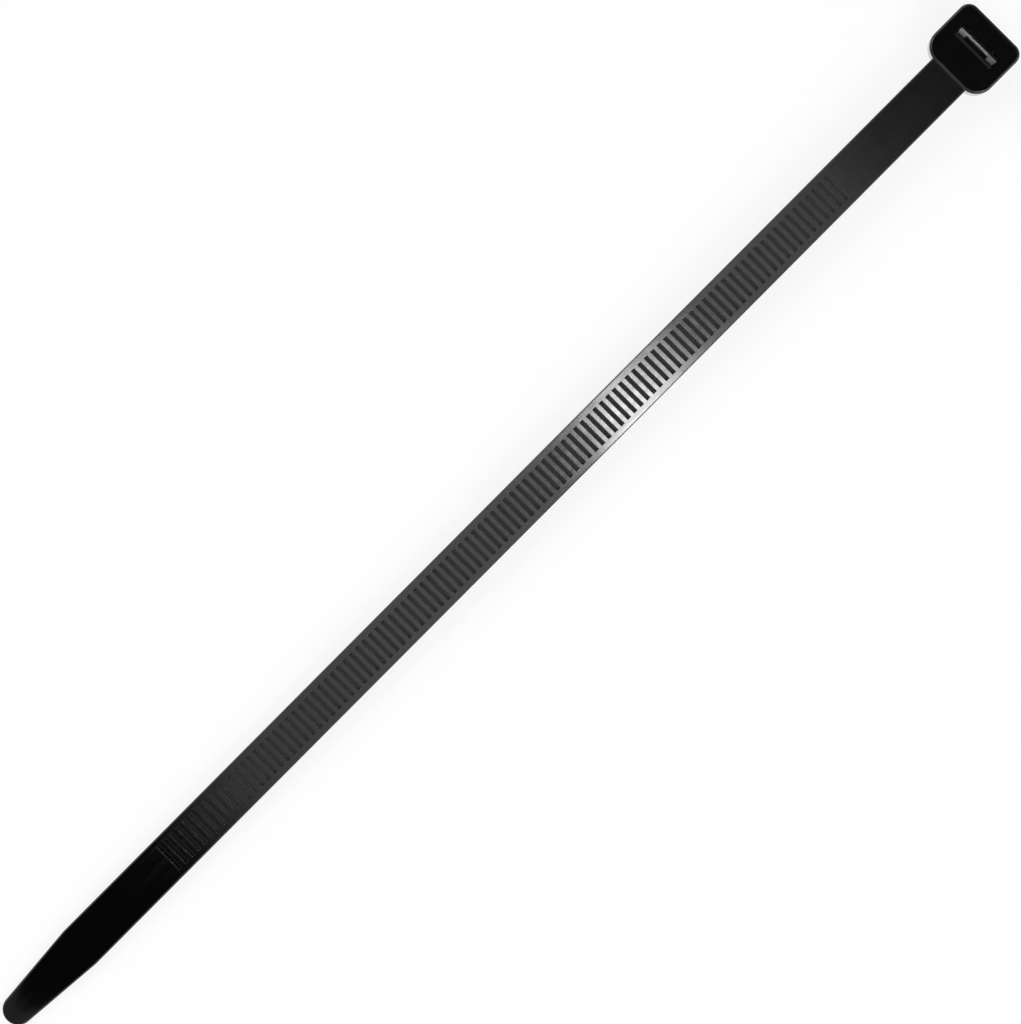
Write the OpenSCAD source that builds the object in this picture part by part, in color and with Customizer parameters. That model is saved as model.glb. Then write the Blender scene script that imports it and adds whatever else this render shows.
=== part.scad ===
// Nylon cable tie, lying with its toothed face up. It is one moulding: head, pawl, strap and tip.
// X runs along the strap from the head to the tip, Y runs across it, and Z is up through the slot.
// The origin is on the plane that the tie rests on, under the middle of the slot.

/* [Strap] */
// Overall length, measured along the tie from the far end of the head to the tip
tie_length = 240; // [150:5:370]
// Width of the strap
strap_w = 7.9; // [7:0.1:8.6]
// Thickness of the strap over its rails
strap_t = 1.4; // [1.3:0.05:1.8]
// Radius along the edges of the strap
strap_edge_r = 0.3; // [0.15:0.05:0.45]
// Plain neck between the head and the first groove
neck_l = 26.7; // [5:0.1:60]
// Plain tail between the last groove and the tip
tail_l = 38; // [30:0.5:60]

/* [Ladder] */
// Distance from one tooth to the next
tooth_pitch = 1.556; // [1.4:0.002:1.7]
// Depth of the grooves between the teeth
tooth_depth = 0.6; // [0.5:0.05:0.8]
// Flat land on top of each tooth
tooth_land = 0.82; // [0.4:0.02:0.9]
// Flat floor of each groove
groove_floor = 0.14; // [0.06:0.02:0.2]
// Lean of the locking face of each tooth, in degrees
lock_lean = 5; // [0:1:10]
// Width of the lane of teeth, between the two rails
lane_w = 5.5; // [4.6:0.1:6.2]

/* [Tip] */
// Length of the tapered tip
tip_l = 17.7; // [10:0.1:25]
// Radius of the tip's round end
tip_r = 2.7; // [1.5:0.05:3.2]
// Thickness of the tip at its end
tip_t = 1; // [0.8:0.05:1.3]
// Number of finger grooves across the underside of the tail
grip_count = 9; // [1:1:10]
// Distance from one finger groove to the next
grip_pitch = 1.5; // [1:0.1:1.8]
// Depth of the finger grooves
grip_depth = 0.2; // [0.1:0.05:0.3]

/* [Head] */
// Length of the head along the strap
head_l = 11.6; // [11:0.1:14]
// Width of the head
head_w = 13.4; // [12:0.1:15]
// Height of the head, from its exit face to its entry face
head_h = 7.4; // [7.2:0.1:8.6]
// Radius of the two corners beside the strap
shoulder_r = 3.4; // [2.8:0.1:4.5]
// Radius of the two corners at the far end
corner_r = 2; // [1:0.1:2.5]
// Radius round the edge of the entry face
entry_edge_r = 0.45; // [0.3:0.05:0.95]
// Radius round the edge of the exit face
exit_edge_r = 0.4; // [0.2:0.05:0.7]
// Step from the entry face down to the toothed face of the strap
strap_step = 0.3; // [0.2:0.05:0.6]
// Radius of the fillet under the root of the strap
root_fillet_r = 2; // [0.5:0.1:3]

/* [Slot] */
// Thickness of the far wall, which the passing strap bears on
far_wall_t = 3.75; // [3:0.05:4.5]
// Clearance of the slot over the strap's thickness
slot_play_t = 0.15; // [0.1:0.05:0.3]
// Clearance of the slot over the strap's width
slot_play_w = 0.3; // [0.2:0.05:0.6]
// Flare of the entry on the pawl's side
pawl_flare = 0.8; // [0.2:0.05:0.9]
// Flare of the entry on its other three sides
wall_flare = 0.15; // [0.1:0.05:0.5]
// Depth of the flare
flare_depth = 0.9; // [0.5:0.1:1.1]

/* [Pawl] */
// Number of teeth on the pawl
pawl_teeth = 3; // [1:1:3]
// Gap between the tips of the pawl's teeth and the groove floors when the tie is locked
pawl_tip_play = 0.05; // [0:0.01:0.15]
// Gap between the pawl and the tops of the strap's teeth when the tie is locked
pawl_face_play = 0.05; // [0:0.01:0.15]
// Clearance between the pawl and each rail of the passing strap
pawl_side_play = 0.2; // [0.1:0.05:0.4]
// Thickness of the pawl's free end, behind its teeth
pawl_t = 1.4; // [1:0.1:1.8]
// Height of the pawl's free end above the exit face
pawl_end_z = 0.6; // [0.3:0.1:1]
// Plain stretch between the pawl's free end and its lowest tooth
pawl_lead = 0.3; // [0.1:0.05:0.4]
// Length of the hinge above the pawl's top tooth
hinge_l = 0.5; // [0.3:0.05:0.6]
// Thickness of the hinge that the pawl bends on
hinge_t = 0.8; // [0.5:0.05:1.1]
// Angle that the pawl leans into the slot when nothing is in it
pawl_lean = 2.5; // [1:0.5:6]
// Room behind the pawl for it to bend back
pawl_swing = 1.5; // [1:0.1:2]
// Gap between the pawl and each side of its pocket
pocket_play = 0.3; // [0.15:0.05:0.5]

/* [Hidden] */

// How far a cutter runs past a face, or a joined form runs into its neighbour
past = 0.5;
// Facets round a full turn of the head's corners and of the tip, and steps across a rounded edge
corner_fn = 64;
tip_fn = 32;
edge_steps = 5;

// Places along X in the head
slot_t = strap_t + slot_play_t;
slot_w = strap_w + slot_play_w;
wall_x = -slot_t / 2;
guide_x = slot_t / 2;
head_far_x = wall_x - far_wall_t;
head_root_x = head_far_x + head_l;

// The strap runs straight from the head, and slopes down until the end of its tip rests
root_z = head_h - strap_step - strap_t;
strap_run = tie_length - head_l;
tip_edge_r = min(strap_edge_r, 0.4 * tip_t);
strap_slope = asin(root_z / (strap_run - tip_edge_r));
taper_x = strap_run - tip_l;

// The ladder fills the strap between the neck and the tail with whole grooves
groove_l = tooth_pitch - tooth_land;
groove_count = floor((strap_run - neck_l - tail_l + tooth_land) / tooth_pitch);
lock_slope = tan(lock_lean);
ramp_slope = (groove_l - groove_floor) / tooth_depth - lock_slope;

// The pawl, standing as it does when its teeth are in the strap
pawl_w = lane_w - 2 * pawl_side_play;
pocket_w = pawl_w + 2 * pocket_play;
pawl_tip_x = wall_x + strap_t - tooth_depth + pawl_tip_play;
pawl_face_x = wall_x + strap_t + pawl_face_play;
pawl_back_x = pawl_face_x + pawl_t;
pocket_back_x = pawl_back_x + pawl_swing;
pawl_tooth_d = pawl_face_x - pawl_tip_x;
pawl_tooth_l = pawl_tooth_d * (lock_slope + ramp_slope) + groove_floor;
pawl_tooth_z = pawl_end_z + pawl_lead;
hinge_z = pawl_tooth_z + (pawl_teeth - 1) * tooth_pitch + pawl_tooth_l;
pocket_top = hinge_z + hinge_l;

// Points of a quarter circle, from the given start angle
function quarter(centre, r, from) = [
    for (i = [0:edge_steps])
        let (angle = from + 90 * i / edge_steps)
        centre + r * [cos(angle), sin(angle)]
];

// Section of the strap, with its underside on the line y = 0
function strap_section(w, t, r) = concat(
    quarter([w / 2 - r, t - r], r, 0),
    quarter([r - w / 2, t - r], r, 90),
    quarter([r - w / 2, r], r, 180),
    quarter([w / 2 - r, r], r, 270)
);

// Half section of a round post that stands on the line y = 0
function post_section(radius, h, low_r, high_r) = concat(
    [[0, 0]],
    quarter([radius - low_r, low_r], low_r, 270),
    quarter([radius - high_r, h - high_r], high_r, 0),
    [[0, h]]
);

// Extrudes an outline drawn in X and Z across the tie
module across(w) {
    rotate([90, 0, 0]) linear_extrude(w, center = true) children();
}

// Extrudes the strap's section along the tie
module strap_bar(l) {
    rotate([90, 0, 90]) linear_extrude(l) polygon(strap_section(strap_w, strap_t, strap_edge_r));
}

// Moves the strap from a frame of its own to its root on the head
module at_root() {
    translate([head_root_x, 0, root_z]) rotate([0, strap_slope, 0]) children();
}

// Strap and tip without their grooves, from a root inside the head
module strap_blank() {
    root_l = head_root_x - pocket_back_x;
    translate([-root_l, 0, 0]) strap_bar(root_l + taper_x);
    hull() {
        translate([taper_x - past, 0, 0]) strap_bar(past);
        translate([strap_run - tip_r, 0, 0]) rotate_extrude($fn = tip_fn)
            polygon(post_section(tip_r, tip_t, tip_edge_r, tip_edge_r));
    }
}

// One groove of the ladder: a ramp that the pawl climbs as the strap is pulled, and a face that it locks on
module ladder_groove() {
    lock_x = groove_l - tooth_depth * lock_slope;
    floor_z = strap_t - tooth_depth;
    across(lane_w) polygon([
        [0, strap_t],
        [lock_x - groove_floor, floor_z],
        [lock_x, floor_z],
        [groove_l, strap_t],
        [groove_l, strap_t + past],
        [0, strap_t + past]
    ]);
}

// One finger groove across the underside of the tail
module finger_groove() {
    half_l = grip_pitch / 3;
    across(strap_w + 2 * past) polygon([[-half_l, -past], [-half_l, 0], [0, grip_depth], [half_l, 0], [half_l, -past]]);
}

module strap() {
    difference() {
        strap_blank();
        for (i = [0:groove_count - 1]) translate([neck_l + i * tooth_pitch, 0, 0]) ladder_groove();
        for (i = [1:grip_count]) translate([taper_x - i * grip_pitch, 0, 0]) finger_groove();
    }
}

// Fillet between the underside of the strap and the head, tangent to both
module root_fillet() {
    centre = [root_fillet_r, -root_fillet_r * (tan(strap_slope) + 1 / cos(strap_slope))];
    touch = centre + root_fillet_r * [sin(strap_slope), cos(strap_slope)];
    translate([head_root_x, 0, root_z]) across(strap_w - 2 * strap_edge_r) difference() {
        polygon([[-past, centre[1]], centre, touch, touch + [0, past], [-past, past]]);
        translate(centre) circle(root_fillet_r, $fn = corner_fn);
    }
}

// Block of the head, round at its corners and along its edges
module head_block() {
    hull() for (side = [-1, 1]) {
        translate([head_far_x + corner_r, side * (head_w / 2 - corner_r), 0]) head_post(corner_r);
        translate([head_root_x - shoulder_r, side * (head_w / 2 - shoulder_r), 0]) head_post(shoulder_r);
    }
}

module head_post(radius) {
    rotate_extrude($fn = corner_fn) polygon(post_section(radius, head_h, exit_edge_r, entry_edge_r));
}

// Slot through the head, flared where the strap's tip enters
module slot_cut() {
    translate([wall_x, -slot_w / 2, -past]) cube([slot_t, slot_w, head_h + 2 * past]);
    hull() {
        translate([wall_x, -slot_w / 2, head_h - flare_depth]) cube([slot_t, slot_w, flare_depth]);
        translate([wall_x - wall_flare, -slot_w / 2 - wall_flare, head_h])
            cube([slot_t + wall_flare + pawl_flare, slot_w + 2 * wall_flare, past]);
    }
}

// Pocket that the pawl bends back into, open to the slot and at the exit face
module pocket_cut() {
    translate([0, -pocket_w / 2, -past]) cube([pocket_back_x, pocket_w, pocket_top + past]);
}

// Pawl, hanging on its hinge from the roof of the pocket with its teeth towards the far wall
module pawl() {
    hinge_front_x = pawl_back_x - hinge_t;
    pivot = [pawl_back_x - hinge_t / 2, 0, pocket_top];
    lip = pawl_lead / 2;
    teeth = [
        for (i = [0:pawl_teeth - 1])
            let (z = pawl_tooth_z + i * tooth_pitch, tip_z = z + pawl_tooth_d * lock_slope)
            each [
                [pawl_face_x, z],
                [pawl_tip_x, tip_z],
                [pawl_tip_x, tip_z + groove_floor],
                [pawl_face_x, z + pawl_tooth_l]
            ]
    ];
    translate(pivot) rotate([0, pawl_lean, 0]) translate(-pivot) across(pawl_w) polygon(concat(
        [[pawl_back_x, pawl_end_z + lip], [pawl_back_x - lip, pawl_end_z], [pawl_face_x + lip, pawl_end_z]],
        [[pawl_face_x, pawl_end_z + lip]],
        teeth,
        [[hinge_front_x, pocket_top], [hinge_front_x, pocket_top + past], [pawl_back_x, pocket_top + past]]
    ));
}

module head() {
    difference() {
        head_block();
        slot_cut();
        pocket_cut();
    }
    pawl();
}

module cable_tie() {
    color("#1b1b1c") {
        head();
        root_fillet();
        at_root() strap();
    }
}

cable_tie();
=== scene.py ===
"""Looks of a black nylon cable tie, lying with its toothed face up on a pale floor."""

import math

import bmesh
import bpy
from mathutils import Matrix, Vector


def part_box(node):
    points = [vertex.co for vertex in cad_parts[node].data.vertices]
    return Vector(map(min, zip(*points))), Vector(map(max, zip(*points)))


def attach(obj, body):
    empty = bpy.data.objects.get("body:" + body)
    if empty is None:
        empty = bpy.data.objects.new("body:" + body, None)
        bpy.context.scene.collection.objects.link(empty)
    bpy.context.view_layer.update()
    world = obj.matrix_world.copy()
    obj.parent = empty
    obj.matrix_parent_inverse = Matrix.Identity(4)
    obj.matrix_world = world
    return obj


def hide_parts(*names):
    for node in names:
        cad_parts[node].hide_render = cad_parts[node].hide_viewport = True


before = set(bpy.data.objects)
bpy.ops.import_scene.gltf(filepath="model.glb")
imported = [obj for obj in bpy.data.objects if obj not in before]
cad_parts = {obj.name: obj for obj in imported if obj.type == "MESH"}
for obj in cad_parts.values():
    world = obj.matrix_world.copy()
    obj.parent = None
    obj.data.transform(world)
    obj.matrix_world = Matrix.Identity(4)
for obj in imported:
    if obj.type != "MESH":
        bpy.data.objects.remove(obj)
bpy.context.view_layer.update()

MM = 0.001
NODE = "cable_tie"

# Sizes of the moulding, as the part's source has them
TIE_L = 240 * MM
HEAD_L = 11.6 * MM
STRAP_W = 7.9 * MM
STRAP_T = 1.4 * MM
STRAP_EDGE_R = 0.3 * MM
STRAP_STEP = 0.3 * MM
NECK_L = 26.7 * MM
TAIL_L = 38 * MM
TOOTH_PITCH = 1.556 * MM
TOOTH_DEPTH = 0.6 * MM
TOOTH_LAND = 0.82 * MM
GROOVE_FLOOR = 0.14 * MM
LOCK_LEAN = math.radians(5)
LANE_W = 5.5 * MM
EDGE_STEPS = 5
SLOT_T = 1.55 * MM
SLOT_W = 8.2 * MM
SLOT_TOP = 6.5 * MM

# Radii along the edges of the head's entry face and of the tip
HEAD_EDGE_R = 0.45 * MM
TIP_EDGE_R = 0.3 * MM

# Radii that the mould leaves on the edges of the teeth, which the source draws sharp, and the draft of the
# lane's walls
TOOTH_EDGE_R = 0.05 * MM
TOOTH_EDGE_STEPS = 2
LANE_DRAFT = 0.03 * MM

# Least length of a side over the reach of each rounding at its ends, and how far the middle point of a
# bend in the lane's wall lies from its corner, as a share of its radius
SIDE_TO_REACH = 2.2
BEND_MIDDLE = 0.3

# Sizes of the finish: waves of sink, flow marks along and across the strap, and orange peel
SINK_SIZE = 4 * MM
SINK_DEPTH = 0.004 * MM
FLOW_SCALE = (1 / (14 * MM), 1 / (0.9 * MM), 1 / (0.9 * MM))
PEEL_SIZE = 0.3 * MM
PEEL_DEPTH = 0.0004 * MM

# How many times each noise adds waves of half the size
FLOW_DETAIL = 3.0
TINT_DETAIL = 2.0
SINK_DETAIL = 1.0
PEEL_DETAIL = 1.0

# Levels of the flow marks' noise between which the gloss varies, and its roughness at the two
FLOW_LOW, FLOW_HIGH = 0.3, 0.7
GLOSS_LOW, GLOSS_HIGH = 0.05, 0.08

# Colours between which the body varies, the lighter grey painted into the grooves as painted light that
# stands in for light in them, and how strongly nylon bends light
BODY_DARK, BODY_PALE = "#030304", "#060607"
GROOVE_PAINTED_LIGHT_GREY = "#363637"
NYLON_IOR = 1.53

# Depth below the lands and the entry face at which the matt finish and the painted light of the grooves
# start, the matt roughness, and the length of the ladder over which both fade towards the tail
MATT_START = 0.03 * MM
MATT_ROUGHNESS = 0.6
MATT_AND_PAINTED_LIGHT_FADE = 14 * MM

# Places along the tie, in metres in the row's frame and along the strap from its root
head_low, head_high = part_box(NODE)
STRAP_RUN = TIE_L - HEAD_L
ROOT = Vector((head_low.x + HEAD_L, 0, head_high.z - STRAP_STEP - STRAP_T))
STRAP_SLOPE = math.asin(ROOT.z / (STRAP_RUN - STRAP_EDGE_R))
STRAP_TO_ROW = Matrix.Translation(ROOT) @ Matrix.Rotation(STRAP_SLOPE, 4, "Y")
GROOVE_L = TOOTH_PITCH - TOOTH_LAND
GROOVES = math.floor((STRAP_RUN - NECK_L - TAIL_L + TOOTH_LAND) / TOOTH_PITCH)
LADDER_START = NECK_L - TOOTH_LAND / 2
LADDER_END = LADDER_START + GROOVES * TOOTH_PITCH

# Distances below which two points are one: on one skin, on a cut, and at the seams between skins
WELD = 0.001 * MM
CUT_WELD = WELD / 10
SEAM_WELD = 2 * WELD

# Angle up to which faces of the solid are one flat, angle from which an edge shades sharp, and the power
# of its area with which a face leads the shading of its corners
FLAT_ANGLE = math.radians(0.3)
SHARP_ANGLE = math.radians(35)
FLAT_LEAD = 4

# What the geometry nodes of the ladder are given
LADDER_INPUTS = {
    "Cell": "NodeSocketObject",
    "Teeth": "NodeSocketInt",
    "Start": "NodeSocketFloat",
    "Pitch": "NodeSocketFloat",
    "Weld": "NodeSocketFloat",
    "Finish": "NodeSocketMaterial",
}


def linear(hex_colour):
    """Linear colour of an sRGB hex value, with an alpha of one."""
    values = [int(hex_colour[i:i + 2], 16) / 255 for i in (1, 3, 5)]
    return [v / 12.92 if v <= 0.04045 else ((v + 0.055) / 1.055) ** 2.4 for v in values] + [1.0]


def add_node(tree, kind, inputs=None, **settings):
    """Adds a node. Inputs go by name or number, and each is a value or another node's output."""
    node = tree.nodes.new(kind)
    for name, value in settings.items():
        setattr(node, name, value)
    for name, value in (inputs or {}).items():
        socket = node.inputs[name]
        if isinstance(value, bpy.types.NodeSocket):
            tree.links.new(value, socket)
        else:
            socket.default_value = value
    return node


def link_object(name, data):
    """Puts a new object in the scene, at the origin."""
    piece = bpy.data.objects.new(name, data)
    bpy.context.scene.collection.objects.link(piece)
    return piece


# Shape of the ladder

def rounded(corners, radius, steps):
    """Line through corners of which each inner one is turned into a short curve."""
    points = [corners[0]]
    for before, corner, after in zip(corners, corners[1:], corners[2:]):
        reach_in = min(radius, (before - corner).length / SIDE_TO_REACH)
        reach_out = min(radius, (after - corner).length / SIDE_TO_REACH)
        start = corner + (before - corner).normalized() * reach_in
        end = corner + (after - corner).normalized() * reach_out
        for i in range(steps + 1):
            u = i / steps
            points.append(start * (1 - u) ** 2 + corner * 2 * u * (1 - u) + end * u ** 2)
    points.append(corners[-1])
    return points


def tooth_line():
    """Height of the lane along one pitch, from the middle of a land to the middle of the next."""
    lock_x = GROOVE_L - TOOTH_DEPTH * math.tan(LOCK_LEAN)
    floor_z = STRAP_T - TOOTH_DEPTH
    corners = [
        Vector((-TOOTH_LAND / 2, STRAP_T)),
        Vector((0, STRAP_T)),
        Vector((lock_x - GROOVE_FLOOR, floor_z)),
        Vector((lock_x, floor_z)),
        Vector((GROOVE_L, STRAP_T)),
        Vector((GROOVE_L + TOOTH_LAND / 2, STRAP_T)),
    ]
    return rounded(corners, TOOTH_EDGE_R, TOOTH_EDGE_STEPS)


def corner_arc(y, z, from_degrees):
    """Quarter of the strap's rounded edge, clockwise from the given angle."""
    angles = [math.radians(from_degrees - 90 * i / EDGE_STEPS) for i in range(EDGE_STEPS + 1)]
    return [(y + STRAP_EDGE_R * math.cos(a), z + STRAP_EDGE_R * math.sin(a)) for a in angles]


def lane_wall(lane_z):
    """Right wall of the lane, from its floor out to the top of the rail."""
    edge = LANE_W / 2
    foot = edge - LANE_DRAFT
    r = TOOTH_EDGE_R
    rise = r * min(1, (STRAP_T - lane_z) / (2 * r))
    return [
        (foot - r, lane_z),
        (foot - BEND_MIDDLE * r, lane_z + BEND_MIDDLE * rise),
        (foot, lane_z + rise),
        (edge, STRAP_T - rise),
        (edge + BEND_MIDDLE * r, STRAP_T - BEND_MIDDLE * rise),
        (edge + r, STRAP_T),
    ]


def lane_section(lane_z):
    """Section of the lane at that height, from the inner edge of one rail to that of the other."""
    wall = lane_wall(lane_z)
    return [(-y, z) for y, z in reversed(wall)] + wall


def outer_section():
    """Section of the rest of the strap, from the right rail's top round the underside to the left one's."""
    side_y = STRAP_W / 2 - STRAP_EDGE_R
    right = corner_arc(side_y, STRAP_T - STRAP_EDGE_R, 90) + corner_arc(side_y, STRAP_EDGE_R, 0)
    return right + [(-y, z) for y, z in reversed(right)]


def section_points(skin, x, section):
    """New points of a skin, along a section at that place of the strap."""
    return [skin.verts.new((x, y, z)) for y, z in section]


def bridge(skin, line, following):
    """Faces between two lines of as many points."""
    for near, near_next, far, far_next in zip(line, line[1:], following, following[1:]):
        skin.faces.new((near, near_next, far_next, far))


def tooth_cell():
    """One pitch of the strap as an open tube, to be repeated along the ladder."""
    cell = bmesh.new()
    places = tooth_line()
    lane = [section_points(cell, x, lane_section(lane_z)) for x, lane_z in places]
    for line, following in zip(lane, lane[1:]):
        bridge(cell, line, following)
    near = section_points(cell, places[0].x, outer_section())
    far = section_points(cell, places[-1].x, outer_section())
    bridge(cell, near, far)
    cell.faces.new([near[0]] + [line[-1] for line in lane] + [far[0]])
    cell.faces.new([near[-1]] + [line[0] for line in lane] + [far[-1]])
    bmesh.ops.recalc_face_normals(cell, faces=cell.faces)
    mesh = bpy.data.meshes.new("tooth_cell")
    cell.to_mesh(mesh)
    cell.free()
    return mesh


def ladder_tree():
    """Geometry nodes that repeat a cell along the strap and weld the copies into one skin."""
    tree = bpy.data.node_groups.new("ladder of teeth", "GeometryNodeTree")
    tree.is_modifier = True
    for name, kind in LADDER_INPUTS.items():
        tree.interface.new_socket(name, in_out="INPUT", socket_type=kind)
    tree.interface.new_socket("Geometry", in_out="OUTPUT", socket_type="NodeSocketGeometry")
    given = add_node(tree, "NodeGroupInput").outputs
    start = add_node(tree, "ShaderNodeCombineXYZ", {"X": given["Start"]})
    step = add_node(tree, "ShaderNodeCombineXYZ", {"X": given["Pitch"]})
    line = add_node(tree, "GeometryNodeMeshLine", {
        "Count": given["Teeth"], "Start Location": start.outputs[0], "Offset": step.outputs[0]})
    cell = add_node(tree, "GeometryNodeObjectInfo", {"Object": given["Cell"]})
    copies = add_node(tree, "GeometryNodeInstanceOnPoints", {
        "Points": line.outputs["Mesh"], "Instance": cell.outputs["Geometry"]})
    real = add_node(tree, "GeometryNodeRealizeInstances", {"Geometry": copies.outputs["Instances"]})
    welded = add_node(tree, "GeometryNodeMergeByDistance", {
        "Geometry": real.outputs["Geometry"], "Distance": given["Weld"]})
    finished = add_node(tree, "GeometryNodeSetMaterial", {
        "Geometry": welded.outputs["Geometry"], "Material": given["Finish"]})
    add_node(tree, "NodeGroupOutput", {"Geometry": finished.outputs["Geometry"]})
    return tree


def ladder_mesh(material):
    """The whole ladder as one open tube, in the strap's own frame."""
    cell = link_object("tooth_cell", tooth_cell())
    host = link_object("ladder_host", bpy.data.meshes.new("ladder_host"))
    tree = ladder_tree()
    modifier = host.modifiers.new("ladder", "NODES")
    modifier.node_group = tree
    values = {
        "Cell": cell,
        "Teeth": GROOVES,
        "Start": NECK_L,
        "Pitch": TOOTH_PITCH,
        "Weld": WELD,
        "Finish": material,
    }
    for item in tree.interface.items_tree:
        if item.in_out == "INPUT":
            modifier[item.identifier] = values[item.name]
    bpy.context.view_layer.update()
    evaluated = host.evaluated_get(bpy.context.evaluated_depsgraph_get())
    mesh = bpy.data.meshes.new_from_object(evaluated)
    for spare in (host, cell):
        bpy.data.objects.remove(spare)
    return mesh


# Shape of the two ends

def split_top_edge(skin, x):
    """Gives the plain top edge of a cut end the points that the ladder's end has."""
    side_y = STRAP_W / 2 - STRAP_EDGE_R
    edge = next(e for e in skin.edges if e.is_boundary and all(
        abs(v.co.x - x) < WELD and abs(v.co.z - STRAP_T) < WELD and abs(abs(v.co.y) - side_y) < WELD
        for v in e.verts))
    left = min(edge.verts, key=lambda v: v.co.y)
    right = max(edge.verts, key=lambda v: v.co.y)
    wall = [y for y, _ in lane_wall(STRAP_T)]
    for y in sorted([-y for y in wall] + wall):
        share = (y - left.co.y) / (right.co.y - left.co.y)
        edge, left = bmesh.utils.edge_split(edge, left, share)
        edge = next(e for e in left.link_edges if right in e.verts)


def end_skins():
    """Head and tail from the solid's own mesh, cut where the ladder starts and ends."""
    skin = bmesh.new()
    skin.from_mesh(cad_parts[NODE].data)
    bmesh.ops.remove_doubles(skin, verts=skin.verts, dist=WELD)
    bmesh.ops.transform(skin, matrix=STRAP_TO_ROW.inverted(), verts=skin.verts)
    tail = skin.copy()
    for part, x, side in ((skin, LADDER_START, 1), (tail, LADDER_END, -1)):
        bmesh.ops.bisect_plane(
            part, geom=part.verts[:] + part.edges[:] + part.faces[:], dist=CUT_WELD,
            plane_co=(x, 0, 0), plane_no=(side, 0, 0), clear_outer=True)
        bmesh.ops.dissolve_limit(
            part, angle_limit=FLAT_ANGLE, use_dissolve_boundaries=True,
            verts=part.verts, edges=part.edges)
        split_top_edge(part, x)
    return skin, tail


def sides(corner):
    """Edges on the two sides of a face corner."""
    return corner.edge, corner.link_loop_prev.edge


def fans(corners):
    """Face corners at one vertex, in groups that no sharp edge divides."""
    groups = [[corner] for corner in corners]
    for edge in {edge for corner in corners for edge in sides(corner)}:
        if edge.smooth:
            touching = [g for g in groups if any(edge in sides(corner) for corner in g)]
            if len(touching) > 1:
                groups = [g for g in groups if g not in touching] + [sum(touching, [])]
    return groups


def shade_flats_flat(mesh):
    """Smooth shading in which a flat keeps its own normal up to the start of its rounded edges."""
    mesh.shade_smooth()
    mesh.set_sharp_from_angle(angle=SHARP_ANGLE)
    skin = bmesh.new()
    skin.from_mesh(mesh)
    area = {face: face.calc_area() for face in skin.faces}
    number = {corner: i for i, corner in enumerate(c for face in skin.faces for c in face.loops)}
    normals = [None] * len(number)
    for vertex in skin.verts:
        for fan in fans(list(vertex.link_loops)):
            largest = max(area[corner.face] for corner in fan)
            total = Vector()
            for corner in fan:
                total += corner.face.normal * (area[corner.face] / largest) ** FLAT_LEAD
            for corner in fan:
                normals[number[corner]] = total.normalized()
    skin.free()
    mesh.normals_split_custom_set(normals)


def tie_mesh(material):
    """The whole moulding as one closed skin."""
    whole, tail = end_skins()
    tail_mesh = bpy.data.meshes.new("tail")
    tail.to_mesh(tail_mesh)
    tail.free()
    for mesh in (tail_mesh, ladder_mesh(material)):
        whole.from_mesh(mesh)
    bmesh.ops.remove_doubles(whole, verts=whole.verts, dist=SEAM_WELD)
    if any(edge.is_boundary for edge in whole.edges):
        raise ValueError("The ladder and the ends don't close into one skin.")
    bmesh.ops.transform(whole, matrix=STRAP_TO_ROW, verts=whole.verts)
    mesh = bpy.data.meshes.new("moulding")
    whole.to_mesh(mesh)
    whole.free()
    mesh.materials.clear()
    mesh.materials.append(material)
    shade_flats_flat(mesh)
    return mesh


# Finish

def box_mask(tree, place, low, high):
    """One inside a box, given as its corners, and zero outside it."""
    axes = add_node(tree, "ShaderNodeSeparateXYZ", {"Vector": place}).outputs
    inside = 1.0
    for axis, start, end in zip(axes, low, high):
        within = add_node(tree, "ShaderNodeMath", {
            0: axis, 1: (start + end) / 2, 2: (end - start) / 2}, operation="COMPARE").outputs[0]
        inside = add_node(tree, "ShaderNodeMath", {0: inside, 1: within}, operation="MULTIPLY").outputs[0]
    return inside


def groove_mask(tree, place):
    """Mask of the grooves' matt finish and painted light: one in the grooves of the ladder, fading towards
    the tail, and zero elsewhere.
    """
    along_strap = {"Vector": place, "Location": ROOT, "Rotation": (0, STRAP_SLOPE, 0)}
    in_strap = add_node(tree, "ShaderNodeMapping", along_strap, vector_type="TEXTURE").outputs[0]
    low = (LADDER_START, -LANE_W / 2, STRAP_T - TOOTH_DEPTH - WELD)
    high = (LADDER_END, LANE_W / 2, STRAP_T - MATT_START)
    grooves = box_mask(tree, in_strap, low, high)
    x = add_node(tree, "ShaderNodeSeparateXYZ", {"Vector": in_strap}).outputs["X"]
    fade = add_node(tree, "ShaderNodeMapRange", {
        "Value": x, "From Min": LADDER_END, "From Max": LADDER_END - MATT_AND_PAINTED_LIGHT_FADE}).outputs[0]
    return add_node(tree, "ShaderNodeMath", {0: grooves, 1: fade}, operation="MULTIPLY").outputs[0]


def slot_mask(tree, place):
    """One on the walls of the slot and on the pawl in it, and zero elsewhere."""
    low = (-SLOT_T / 2 - WELD, -SLOT_W / 2 - WELD, 0)
    high = (SLOT_T / 2 + WELD, SLOT_W / 2 + WELD, SLOT_TOP)
    return box_mask(tree, place, low, high)


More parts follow.
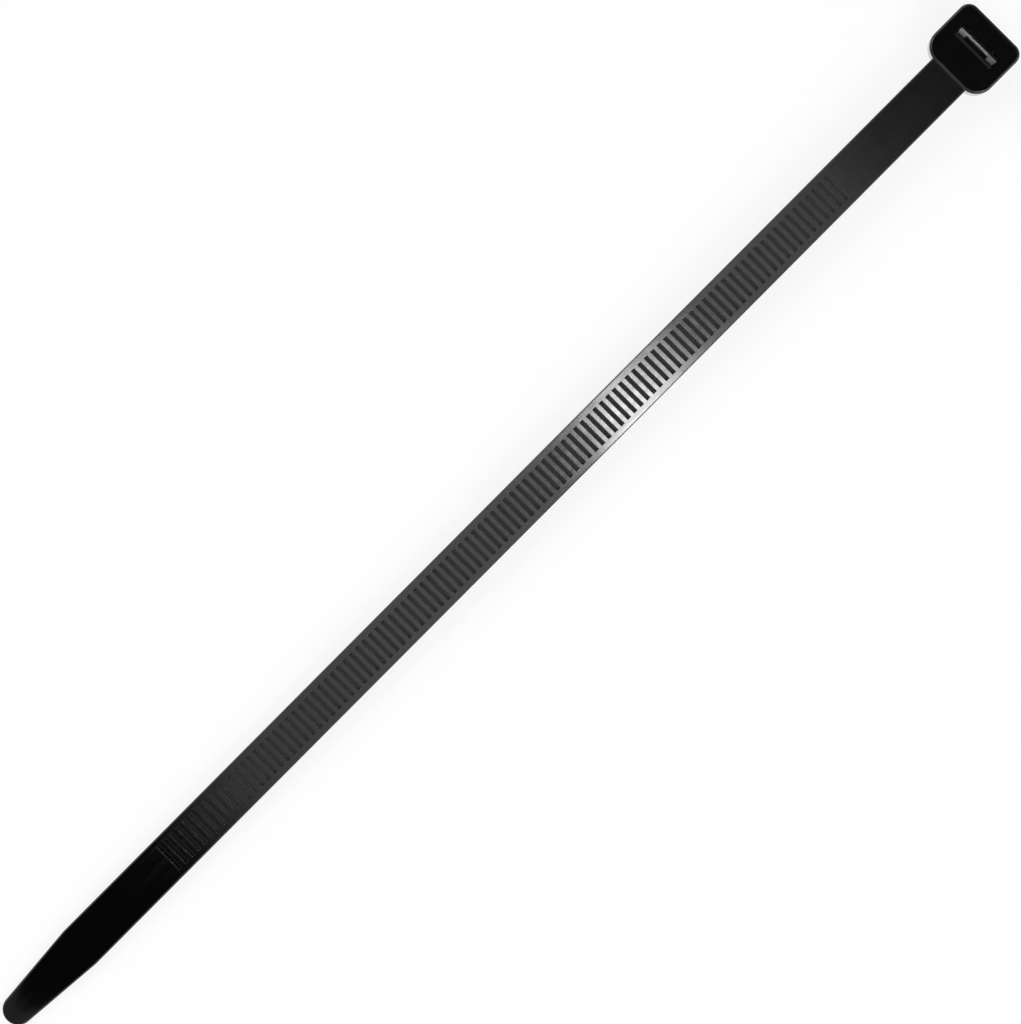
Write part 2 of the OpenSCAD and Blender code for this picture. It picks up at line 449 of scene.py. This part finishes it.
def moulded_nylon():
    """Nylon 6.6 with carbon black, injection moulded in a tool that is polished but for the spark erosion on
    its teeth.

    The eye sees a deep black body under a wet gloss, with slow waves where the moulding has sunk,
    flow marks along the strap and a fine orange peel. The grooves of the ladder are matt, and painted a
    lighter
    grey than the body: painted light that stands in for light in them, fading towards the tail.
    """
    material = bpy.data.materials.new("moulded black nylon")
    material.use_nodes = True
    tree = material.node_tree
    tree.nodes.clear()
    place = add_node(tree, "ShaderNodeTexCoord").outputs["Object"]
    along = add_node(tree, "ShaderNodeMapping", {"Vector": place, "Scale": FLOW_SCALE}).outputs[0]
    flow = add_node(tree, "ShaderNodeTexNoise", {
        "Vector": along, "Scale": 1.0, "Detail": FLOW_DETAIL}).outputs["Fac"]
    gloss = add_node(tree, "ShaderNodeMapRange", {
        "Value": flow, "From Min": FLOW_LOW, "From Max": FLOW_HIGH,
        "To Min": GLOSS_LOW, "To Max": GLOSS_HIGH}).outputs[0]
    matt_painted_light_grooves = groove_mask(tree, place)
    matt = add_node(tree, "ShaderNodeMath", {
        0: matt_painted_light_grooves, 1: slot_mask(tree, place)}, operation="MAXIMUM").outputs[0]
    roughness = add_node(tree, "ShaderNodeMapRange", {
        "Value": matt, "To Min": gloss, "To Max": MATT_ROUGHNESS}).outputs[0]
    tint = add_node(tree, "ShaderNodeTexNoise", {
        "Vector": place, "Scale": 1 / SINK_SIZE, "Detail": TINT_DETAIL}).outputs["Fac"]
    # Inputs 6 and 7 of a Mix node are its colours, and output 2 is its mixed colour
    body = add_node(tree, "ShaderNodeMix", {
        0: tint, 6: linear(BODY_DARK), 7: linear(BODY_PALE)}, data_type="RGBA").outputs[2]
    # Painted light: the grooves get a lighter grey than the black body, standing in for light in them
    colour = add_node(tree, "ShaderNodeMix", {
        0: matt_painted_light_grooves, 6: body, 7: linear(GROOVE_PAINTED_LIGHT_GREY)}, data_type="RGBA").outputs[2]
    sink = add_node(tree, "ShaderNodeTexNoise", {
        "Vector": place, "Scale": 1 / SINK_SIZE, "Detail": SINK_DETAIL}).outputs["Fac"]
    waves = add_node(tree, "ShaderNodeBump", {"Height": sink, "Distance": SINK_DEPTH}).outputs[0]
    peel = add_node(tree, "ShaderNodeTexNoise", {
        "Vector": place, "Scale": 1 / PEEL_SIZE, "Detail": PEEL_DETAIL}).outputs["Fac"]
    skin = add_node(tree, "ShaderNodeBump", {
        "Height": peel, "Distance": PEEL_DEPTH, "Normal": waves}).outputs[0]
    shader = add_node(tree, "ShaderNodeBsdfPrincipled", {
        "Base Color": colour, "Roughness": roughness, "IOR": NYLON_IOR, "Normal": skin}).outputs[0]
    add_node(tree, "ShaderNodeOutputMaterial", {"Surface": shader})
    return material


# Stage

# Side and white of the floor
FLOOR_SIZE = 3.0
PAPER_WHITE = "#fdfdfd"

# Light bank over the tie: its height, its ends along the tie and its width in millimetres, and its
# radiance at places along the tie, in millimetres. The last number at each is what a strip light adds to it
BANK_Z = 1200 * MM
BANK_LOW, BANK_HIGH, BANK_W = -132, 440, 780
BANK_PEAK = 28.0
BANK_STOPS = (
    (-132, 0.03, 0), (-60, 0.05, 0), (-19, 0.14, 0), (-11, 0.2, 0), (14, 0.36, 0), (28, 0.8, 0),
    (39, 1.1, 0), (61, 1.3, 0), (76, 1.4, 0), (88, 1.4, 0), (96, 1.5, 0), (99, 1.7, 0.6),
    (102, 2.2, 5.0), (105, 2.5, 11.5), (111, 2.5, 12.0), (115, 2.5, 23.0), (131, 2.5, 27.5),
    (134, 2.5, 19.0), (137, 2.3, 3.0), (140, 2.1, 0.7), (144, 1.9, 0.1), (150, 1.7, 0),
    (157, 1.45, 0), (170, 1.35, 0), (226, 1.4, 0), (257, 1.05, 0), (288, 0.95, 0),
    (294, 0.75, 0), (300, 0.42, 0), (307, 0.22, 0), (314, 0.05, 0), (322, 0, 0),
)

# Places across the tie between which the strip light starts, in millimetres
STRIP_LOW, STRIP_HIGH = -6.8, -2.5

# Arms that carry the strip light on past the two sides of the bank: the places along the tie of their two
# edges, where they start and where they end, and of their end across it, in millimetres, and their radiance
ARM_START, ARM_STOP = (106, 136), (106, 152)
ARM_END = 2460
ARM_RADIANCE = {"left": 32.0, "right": 16.0}

# Soft boxes on the two sides: their middle's distance and height, their length and height, the sine and
# cosine of the angle at which they lean over the tie, and their radiance
BOX_Y, BOX_Z = 0.85, 0.85
BOX_L, BOX_H = 1.4, 0.6
BOX_LEAN = math.sqrt(0.5)
BOX_RADIANCE = 2.35

# Way across the tie to each side, and the corners of a panel in halves of its length and width
SIDES = {"right": -1, "left": 1}
CORNERS = ((-1, -1), (1, -1), (1, 1), (-1, 1))

# Sines of the elevations between which the room dims, and its radiance above them
SKY_LOW, SKY_HIGH = 0.1, 0.5
SKY_DIM = 0.35

# Share of the floor's white that no shadow reaches, where the camera and the gloss see it: round the tie,
# under the strap, and in the patch under the head that shows through the slot, with the patch's radius. The
# low shares under the strap and under the head are painted shade, darkening the floor where shade falls
FLOOR_GLOW = 0.8
PAINTED_SHADE_GLOW = 0.3
SLOT_PAINTED_SHADE_GLOW = 0.04
SLOT_PAINTED_SHADE_R = 4.5 * MM

# Half the width and the ends of the painted shade under the strap, the length over which it ends, and the
# distances between which the floor fades into the white room
SHADE_HALF = 3.9 * MM
SHADE_LOW, SHADE_HIGH = -4 * MM, 204 * MM
SHADE_FADE = 6 * MM
ROOM_START, ROOM_END = 0.3, 0.9

# Photograph's frame, in pixels, and the tie's ends in it, counted from the middle of the first pixel
PHOTO_W, PHOTO_H = 1021, 1024
PHOTO_HEAD_END = Vector((996.2, 26.1))
PHOTO_TIP_END = Vector((6.8, 1019.8))
CAMERA_LENS = 300.0
CAMERA_SENSOR = 36.0


def shown_directly(tree):
    """One for a ray straight from the camera, from gloss or through a clear body, and zero for others."""
    ray = add_node(tree, "ShaderNodeLightPath").outputs
    seen = 0.0
    for kind in ("Is Camera Ray", "Is Glossy Ray", "Is Transmission Ray"):
        seen = add_node(tree, "ShaderNodeMath", {0: seen, 1: ray[kind]}, operation="MAXIMUM").outputs[0]
    return seen


def stage_panel(name, corners, shader_of):
    """Flat panel of the stage, with the shader that a function makes in its material's tree."""
    material = bpy.data.materials.new(name)
    material.use_nodes = True
    tree = material.node_tree
    tree.nodes.clear()
    add_node(tree, "ShaderNodeOutputMaterial", {"Surface": shader_of(tree)})
    panel = bmesh.new()
    panel.faces.new([panel.verts.new(corner) for corner in corners])
    mesh = bpy.data.meshes.new(name)
    panel.to_mesh(mesh)
    panel.free()
    mesh.materials.append(material)
    thing = link_object(name, mesh)
    return thing


def outside_painted_shade(tree, place):
    """Mask of the painted shade: zero under the middle of the strap, rising to one at its sides and ends."""
    axes = add_node(tree, "ShaderNodeSeparateXYZ", {"Vector": place}).outputs
    middle, half = (SHADE_LOW + SHADE_HIGH) / 2, (SHADE_HIGH - SHADE_LOW) / 2
    outside = 0.0
    for axis, centre, start, end in (("Y", 0, 0, SHADE_HALF), ("X", middle, half - SHADE_FADE, half)):
        offset = add_node(tree, "ShaderNodeMath", {
            0: axes[axis], 1: centre}, operation="SUBTRACT").outputs[0]
        apart = add_node(tree, "ShaderNodeMath", {0: offset}, operation="ABSOLUTE").outputs[0]
        past = add_node(tree, "ShaderNodeMapRange", {
            "Value": apart, "From Min": start, "From Max": end},
            interpolation_type="SMOOTHSTEP").outputs[0]
        outside = add_node(tree, "ShaderNodeMath", {0: outside, 1: past}, operation="MAXIMUM").outputs[0]
    return outside


def white_paper(tree):
    """Matt white paper that glows where it is seen, so that only the shadow next to the tie stays dark.
    Its glow is weaker under the strap and in a patch under the head: painted shade.
    """
    matt = add_node(tree, "ShaderNodeBsdfDiffuse", {"Color": linear(PAPER_WHITE)}).outputs[0]
    white = add_node(tree, "ShaderNodeEmission").outputs[0]
    place = add_node(tree, "ShaderNodeTexCoord").outputs["Object"]
    reach = add_node(tree, "ShaderNodeVectorMath", {0: place}, operation="LENGTH").outputs["Value"]
    # Painted shade: a patch under the head, seen through the slot, where the floor hardly glows
    painted_shade_under_head = add_node(tree, "ShaderNodeMath", {
        0: reach, 1: SLOT_PAINTED_SHADE_R}, operation="LESS_THAN").outputs[0]
    open_floor = add_node(tree, "ShaderNodeMapRange", {
        "Value": reach, "From Min": ROOM_START, "From Max": ROOM_END, "To Min": FLOOR_GLOW}).outputs[0]
    # Painted shade: the floor glows less under the strap
    painted_shade_share = add_node(tree, "ShaderNodeMapRange", {
        "Value": outside_painted_shade(tree, place), "To Min": PAINTED_SHADE_GLOW, "To Max": open_floor}).outputs[0]
    share = add_node(tree, "ShaderNodeMapRange", {
        "Value": painted_shade_under_head, "To Min": painted_shade_share, "To Max": SLOT_PAINTED_SHADE_GLOW}).outputs[0]
    glow = add_node(tree, "ShaderNodeMath", {
        0: shown_directly(tree), 1: share}, operation="MULTIPLY").outputs[0]
    return add_node(tree, "ShaderNodeMixShader", {0: glow, 1: matt, 2: white}).outputs[0]


def bank_light(tree):
    """Glow of the light bank: even over most of the strap, with a bright strip across it and dark ends."""
    place = add_node(tree, "ShaderNodeTexCoord").outputs["Object"]
    axes = add_node(tree, "ShaderNodeSeparateXYZ", {"Vector": place}).outputs
    share = add_node(tree, "ShaderNodeMapRange", {
        "Value": axes["X"], "From Min": BANK_LOW * MM, "From Max": BANK_HIGH * MM}).outputs[0]
    ramp = add_node(tree, "ShaderNodeValToRGB", {"Fac": share})
    stops = ramp.color_ramp.elements
    stops.remove(stops[1])
    for i, (place_mm, even, strip) in enumerate(BANK_STOPS):
        position = (place_mm - BANK_LOW) / (BANK_HIGH - BANK_LOW)
        stop = stops[0] if i == 0 else stops.new(position)
        stop.position = position
        stop.color = (even / BANK_PEAK, strip / BANK_PEAK, 0, 1)
    parts = add_node(tree, "ShaderNodeSeparateColor", {"Color": ramp.outputs["Color"]}).outputs
    start = add_node(tree, "ShaderNodeMapRange", {
        "Value": axes["Y"], "From Min": STRIP_LOW * MM, "From Max": STRIP_HIGH * MM},
        interpolation_type="SMOOTHSTEP").outputs[0]
    whole = add_node(tree, "ShaderNodeMath", {
        0: parts["Green"], 1: start, 2: parts["Red"]}, operation="MULTIPLY_ADD").outputs[0]
    level = add_node(tree, "ShaderNodeMath", {0: whole, 1: BANK_PEAK}, operation="MULTIPLY").outputs[0]
    return add_node(tree, "ShaderNodeEmission", {"Strength": level}).outputs[0]


def plain_light(radiance):
    """Shader of a lamp that glows evenly."""
    return lambda tree: add_node(tree, "ShaderNodeEmission", {"Strength": radiance}).outputs[0]


def pale_floor():
    """Level sheet of white paper that the tie lies on."""
    half = FLOOR_SIZE / 2
    stage_panel("floor", [(x * half, y * half, 0) for x, y in CORNERS], white_paper)


def studio_lights():
    """A light bank overhead, and a soft box and a strip arm on either side. The camera sees none of them."""
    edge = BANK_W / 2
    bank_ends = ((BANK_LOW, -edge), (BANK_LOW, edge), (BANK_HIGH, edge), (BANK_HIGH, -edge))
    bank = [(x * MM, y * MM, BANK_Z) for x, y in bank_ends]
    arm_ends = [(x, edge) for x in ARM_START] + [(x, ARM_END) for x in reversed(ARM_STOP)]
    middle_x = (head_low.x + head_high.x) / 2
    lean = BOX_H / 2 * BOX_LEAN
    lamps = [stage_panel("light_bank", bank, bank_light)]
    for hand, side in SIDES.items():
        box = [(middle_x + end * BOX_L / 2, side * (BOX_Y + rise * lean), BOX_Z - rise * lean)
               for end, rise in CORNERS]
        arm = [(x * MM, side * y * MM, BANK_Z) for x, y in arm_ends]
        lamps.append(stage_panel(f"soft_box_{hand}", box, plain_light(BOX_RADIANCE)))
        lamps.append(stage_panel(f"strip_arm_{hand}", arm, plain_light(ARM_RADIANCE[hand])))
    for lamp in lamps:
        lamp.visible_camera = False


def studio_world():
    """White at the horizon, dimmer overhead where the lamps hang."""
    world = bpy.data.worlds.new("studio")
    bpy.context.scene.world = world
    world.use_nodes = True
    tree = world.node_tree
    direction = add_node(tree, "ShaderNodeTexCoord").outputs["Generated"]
    height = add_node(tree, "ShaderNodeSeparateXYZ", {"Vector": direction}).outputs["Z"]
    level = add_node(tree, "ShaderNodeMapRange", {
        "Value": height, "From Min": SKY_LOW, "From Max": SKY_HIGH, "To Min": 1.0, "To Max": SKY_DIM},
        interpolation_type="SMOOTHSTEP").outputs[0]
    background = tree.nodes["Background"]
    background.inputs["Color"].default_value = (1, 1, 1, 1)
    tree.links.new(level, background.inputs["Strength"])


def overhead_camera():
    """Looks straight down, turned and placed to put both ends of the tie where the photograph has them."""
    data = bpy.data.cameras.new("camera")
    data.lens = CAMERA_LENS
    data.sensor_width = CAMERA_SENSOR
    centre = Vector((PHOTO_W - 1, PHOTO_H - 1)) / 2
    along = (PHOTO_TIP_END - PHOTO_HEAD_END).normalized()
    across = Vector((-along.y, along.x))
    focal = CAMERA_LENS / CAMERA_SENSOR * PHOTO_H
    # Slopes of the sight lines to the head's end and to the tip, each at the height of its outermost point
    to_head = (centre - PHOTO_HEAD_END).dot(along) / focal
    to_tip = (PHOTO_TIP_END - centre).dot(along) / focal
    head_x, head_z = head_low.x, head_high.z - HEAD_EDGE_R
    tip_x, tip_z = head_high.x, TIP_EDGE_R
    z = (tip_x - head_x + to_head * head_z + to_tip * tip_z) / (to_head + to_tip)
    x = head_x + to_head * (z - head_z)
    y = (PHOTO_HEAD_END - centre).dot(across) / focal * z
    camera = link_object("camera", data)
    camera.location = (x, y, z)
    camera.rotation_euler.z = math.atan2(along.y, along.x)
    bpy.context.scene.camera = camera


nylon = moulded_nylon()
moulding = link_object("moulding", tie_mesh(nylon))
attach(moulding, "root")
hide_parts(NODE)
pale_floor()
studio_lights()
studio_world()
overhead_camera()
bpy.context.scene.view_settings.view_transform = "Standard"
